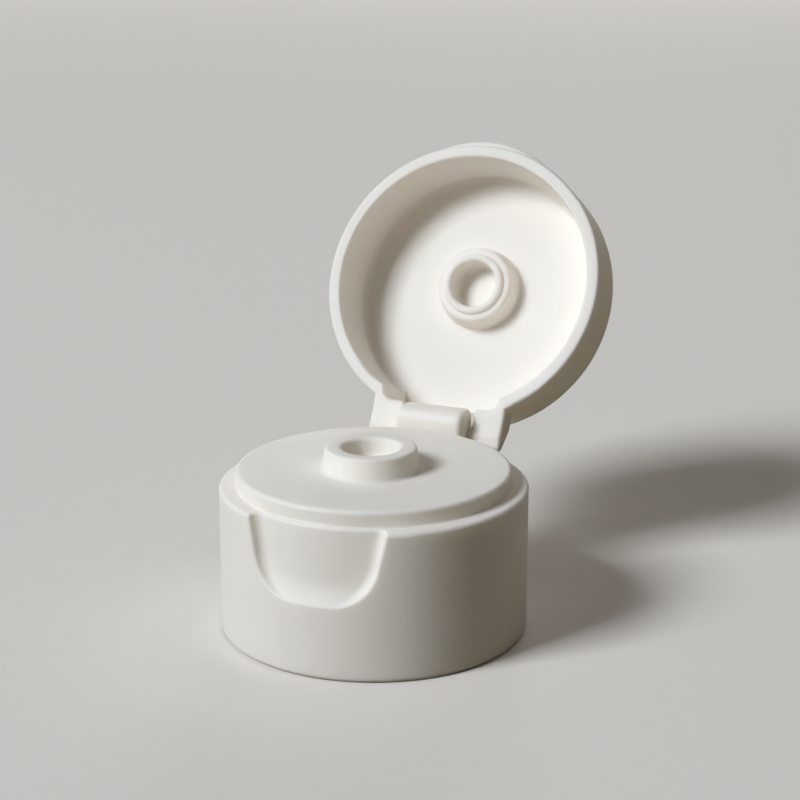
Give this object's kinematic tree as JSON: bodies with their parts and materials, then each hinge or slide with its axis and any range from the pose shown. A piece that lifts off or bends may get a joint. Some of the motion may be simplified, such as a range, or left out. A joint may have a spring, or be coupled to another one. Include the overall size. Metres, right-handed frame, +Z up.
{
  "type": "flip top cap",
  "caption": "White flip top bottle cap: round screw-on base with a raised dispensing nozzle and thumb recess, and a hinged snap lid with a sealing ring.",
  "frame": {"origin": "centre of the base's lower rim, on the axis of the screw sleeve", "axes": "+Z up along the nozzle, -Y to the thumb recess, +Y to the hinge"},
  "size_m": [0.038, 0.0644, 0.0548],
  "materials": {
    "white_polypropylene": "moulded satin"
  },
  "bodies": {
    "base": {"base": "white_polypropylene"},
    "lid": {"lid": "white_polypropylene"}
  },
  "joints": [
    {"name": "lid_hinge", "type": "hinge", "parent": "base", "child": "lid", "pos_m": [0, 0.0205, 0.0191], "axis": [-1, 0, 0], "range_deg": [-116.5, 63.5]}
  ]
}
